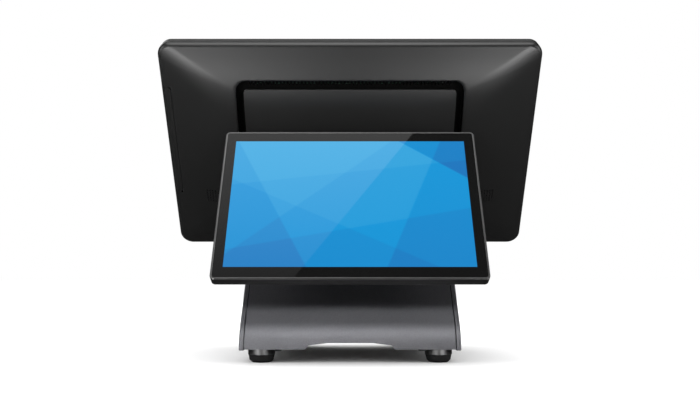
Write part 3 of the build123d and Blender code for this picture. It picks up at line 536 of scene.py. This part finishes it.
def roundedOutline(width, height, radius, arcSteps=12, longSteps=40, shortSteps=26):
    # walks a rectangle whose corners are quarter circles, the same number of steps on each stretch
    halfX, halfY = width / 2 - radius, height / 2 - radius
    points = []
    for corner, (sx, sy, steps) in enumerate(
        ((1, 1, longSteps), (-1, 1, shortSteps), (-1, -1, longSteps), (1, -1, shortSteps))
    ):
        angles = (corner + np.linspace(0, 1, arcSteps + 1)) * pi / 2
        arc = np.stack([sx * halfX + radius * np.cos(angles), sy * halfY + radius * np.sin(angles)], -1)
        nx, ny = ((-1, 1), (-1, -1), (1, -1), (1, 1))[corner]
        last = (corner + 1) * pi / 2
        follow = np.array([nx * halfX + radius * cos(last), ny * halfY + radius * sin(last)])
        share = np.linspace(0, 1, steps + 1)[1:-1, None]
        points += [arc, arc[-1] + share * (follow - arc[-1])]
    return np.vstack(points)


shellShape = {
    "width": 0.377, "height": 0.227, "corner": 0.012, "plateauCorner": 0.022,
    "sideSlope": 0.085, "endSlope": 0.060, "depth": 0.024, "rimDepth": 0.006, "rimShare": 0.04,
    "wall": 0.0024, "recess": (0.2233, 0.1422, 0.0097), "recessMiddle": 0.0091, "edgeRound": 0.0008,
}


def ringOutline(shape, share, inset):
    return roundedOutline(
        shape["width"] - 2 * inset - 2 * shape["sideSlope"] * share,
        shape["height"] - 2 * inset - 2 * shape["endSlope"] * share,
        shape["corner"] - inset / 2 + (shape["plateauCorner"] - shape["corner"]) * share,
    )


def depthOf(shape, share):
    # a steep quarter-round edge plus a quarter of a sine wave up to the flat back
    edge = np.minimum(share / shape["rimShare"], 1)
    steep = shape["rimDepth"] * np.sqrt(1 - (1 - edge) ** 2)
    return steep + (shape["depth"] - shape["rimDepth"]) * np.sin(pi / 2 * np.clip(share, 0, 1))


def shareAt(shape, points, inset):
    # the share of the ring through each point, by halving: outside the ring means a smaller share
    low, high = np.zeros(len(points)), np.ones(len(points))
    for _ in range(30):
        middle = (low + high) / 2
        radius = shape["corner"] - inset / 2 + (shape["plateauCorner"] - shape["corner"]) * middle
        halfX = shape["width"] / 2 - inset - shape["sideSlope"] * middle - radius
        halfY = shape["height"] / 2 - inset - shape["endSlope"] * middle - radius
        outX, outY = np.abs(points[:, 0]) - halfX, np.abs(points[:, 1]) - halfY
        gap = np.hypot(np.maximum(outX, 0), np.maximum(outY, 0))
        gap = gap + np.minimum(np.maximum(outX, outY), 0) - radius
        high = np.where(gap > 0, middle, high)
        low = np.where(gap > 0, low, middle)
    return (low + high) / 2


def shellSkin(shape, inset, lift, window):
    # rings near the edge, then rows that run straight from the last ring to the window
    rows = []
    for share in shape["rimShare"] * np.linspace(0, 1, 13) ** 2:
        outline = ringOutline(shape, share, inset)
        depth = max(float(depthOf(shape, share)) - lift, 0.0)
        rows.append(np.column_stack([outline, np.full(len(outline), -depth)]))
    start = ringOutline(shape, shape["rimShare"], inset)
    for step in np.linspace(0, 1, 31)[1:]:
        outline = start + step * (window - start)
        depth = depthOf(shape, shareAt(shape, outline, inset)) - lift
        rows.append(np.column_stack([outline, -np.maximum(depth, 0)]))
    return np.array(rows)


def makeRearShell(shape):
    # outer skin, a quarter-round lip into the recess, then the inner skin back to the rim
    width, height, radius = shape["recess"]
    edge = shape["edgeRound"]
    middle = np.array([0, shape["recessMiddle"]])
    window = roundedOutline(width, height, radius) + middle
    widened = roundedOutline(width + 2 * edge, height + 2 * edge, radius + edge) + middle
    outer = shellSkin(shape, 0, 0, widened)
    inner = shellSkin(shape, shape["wall"], shape["wall"], window)
    lip = []
    for angle in np.radians([30, 60, 90]):
        pull = edge * (1 - np.sin(angle))
        outline = roundedOutline(width + 2 * pull, height + 2 * pull, radius + pull) + middle
        lip.append(np.column_stack([outline, outer[-1, :, 2] + edge * (1 - np.cos(angle))]))
    rows = np.concatenate([outer, np.array(lip), inner[::-1]])
    world = head.place(rows[..., 0], rows[..., 1], rows[..., 2])
    return gridMesh("rearShell", world, shellPlastic, wrapRows=True, angle=50)


def cutWith(target, cutter):
    # takes the cutter out of the target and keeps the result as the target's own mesh
    modifier = target.modifiers.new("cut", "BOOLEAN")
    modifier.operation = "DIFFERENCE"
    modifier.solver = "EXACT"
    modifier.object = cutter
    bpy.context.view_layer.update()
    evaluated = target.evaluated_get(bpy.context.evaluated_depsgraph_get())
    result = bpy.data.meshes.new_from_object(evaluated)
    target.modifiers.clear()
    target.data = result
    bpy.data.objects.remove(cutter)


def rodRows(x, v, low, high, radius, sides):
    # a closed round rod along the face's own depth: pole, two rings, pole
    angles = np.linspace(0, 2 * pi, sides, endpoint=False)
    ring = np.stack([x + radius * np.cos(angles), v + radius * np.sin(angles)], -1)
    poleX, poleV = np.full(sides, x), np.full(sides, v)
    return np.array([
        np.column_stack([poleX, poleV, np.full(sides, low)]),
        np.column_stack([ring, np.full(sides, low)]),
        np.column_stack([ring, np.full(sides, high)]),
        np.column_stack([poleX, poleV, np.full(sides, high)]),
    ])


def joined(name, pieces):
    # one object from several, their meshes put together
    editing = bmesh.new()
    for piece in pieces:
        editing.from_mesh(piece.data)
    mesh = bpy.data.meshes.new(name)
    editing.to_mesh(mesh)
    editing.free()
    for piece in pieces:
        bpy.data.objects.remove(piece)
    made = bpy.data.objects.new(name, mesh)
    bpy.context.scene.collection.objects.link(made)
    return made


grille = {
    "x": 0.143, "v": -0.0465, "pitch": 0.003, "rows": 5, "columns": 6, "radius": 0.00078,
    "low": -0.030, "high": -0.008, "sides": 10,
}


def cutGrilles(shell, values):
    # rows and columns of round holes on both sides, cut by rods in one go
    rods = []
    for side in (-1, 1):
        for row in range(values["rows"]):
            for column in range(values["columns"]):
                x = side * values["x"] + (column - (values["columns"] - 1) / 2) * values["pitch"]
                v = values["v"] + (row - (values["rows"] - 1) / 2) * values["pitch"]
                rows = rodRows(x, v, values["low"], values["high"], values["radius"], values["sides"])
                solid = head.place(rows[..., 0], rows[..., 1], rows[..., 2])
                rods.append(gridMesh("rod", solid, blackAndPaintedShade))
    cutWith(shell, joined("grilleRods", rods))


readerBay = {
    "edge": 0.1885, "beyond": 0.2, "width": 0.0103, "top": 0.0703, "bottom": -0.0473,
    "low": -0.0133, "high": -0.0017,
}


def cutReaderBay(shell, values):
    # a flat-sided block over the edge of the head
    left, right = values["edge"] - values["width"], values["beyond"]
    bottom, top = values["bottom"], values["top"]
    corner = np.array([(left, bottom), (right, bottom), (right, top), (left, top)])
    low, high = values["low"], values["high"]
    rows = []
    for level, scale in ((low, 0), (low, 1), (high, 1), (high, 0)):
        outline = corner.mean(0) + scale * (corner - corner.mean(0))
        rows.append(head.place(outline[:, 0], outline[:, 1], np.full(4, level)))
    cutWith(shell, gridMesh("bayBlock", np.array(rows), blackAndPaintedShade))


rearShell = makeRearShell(shellShape)
cutGrilles(rearShell, grille)
cutReaderBay(rearShell, readerBay)
rearShell.data.polygons.foreach_set("use_smooth", np.ones(len(rearShell.data.polygons), dtype=bool))
rearShell.data.set_sharp_from_angle(angle=radians(40))
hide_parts("head_rear_shell")
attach(rearShell, "head")
print("rear shell made")
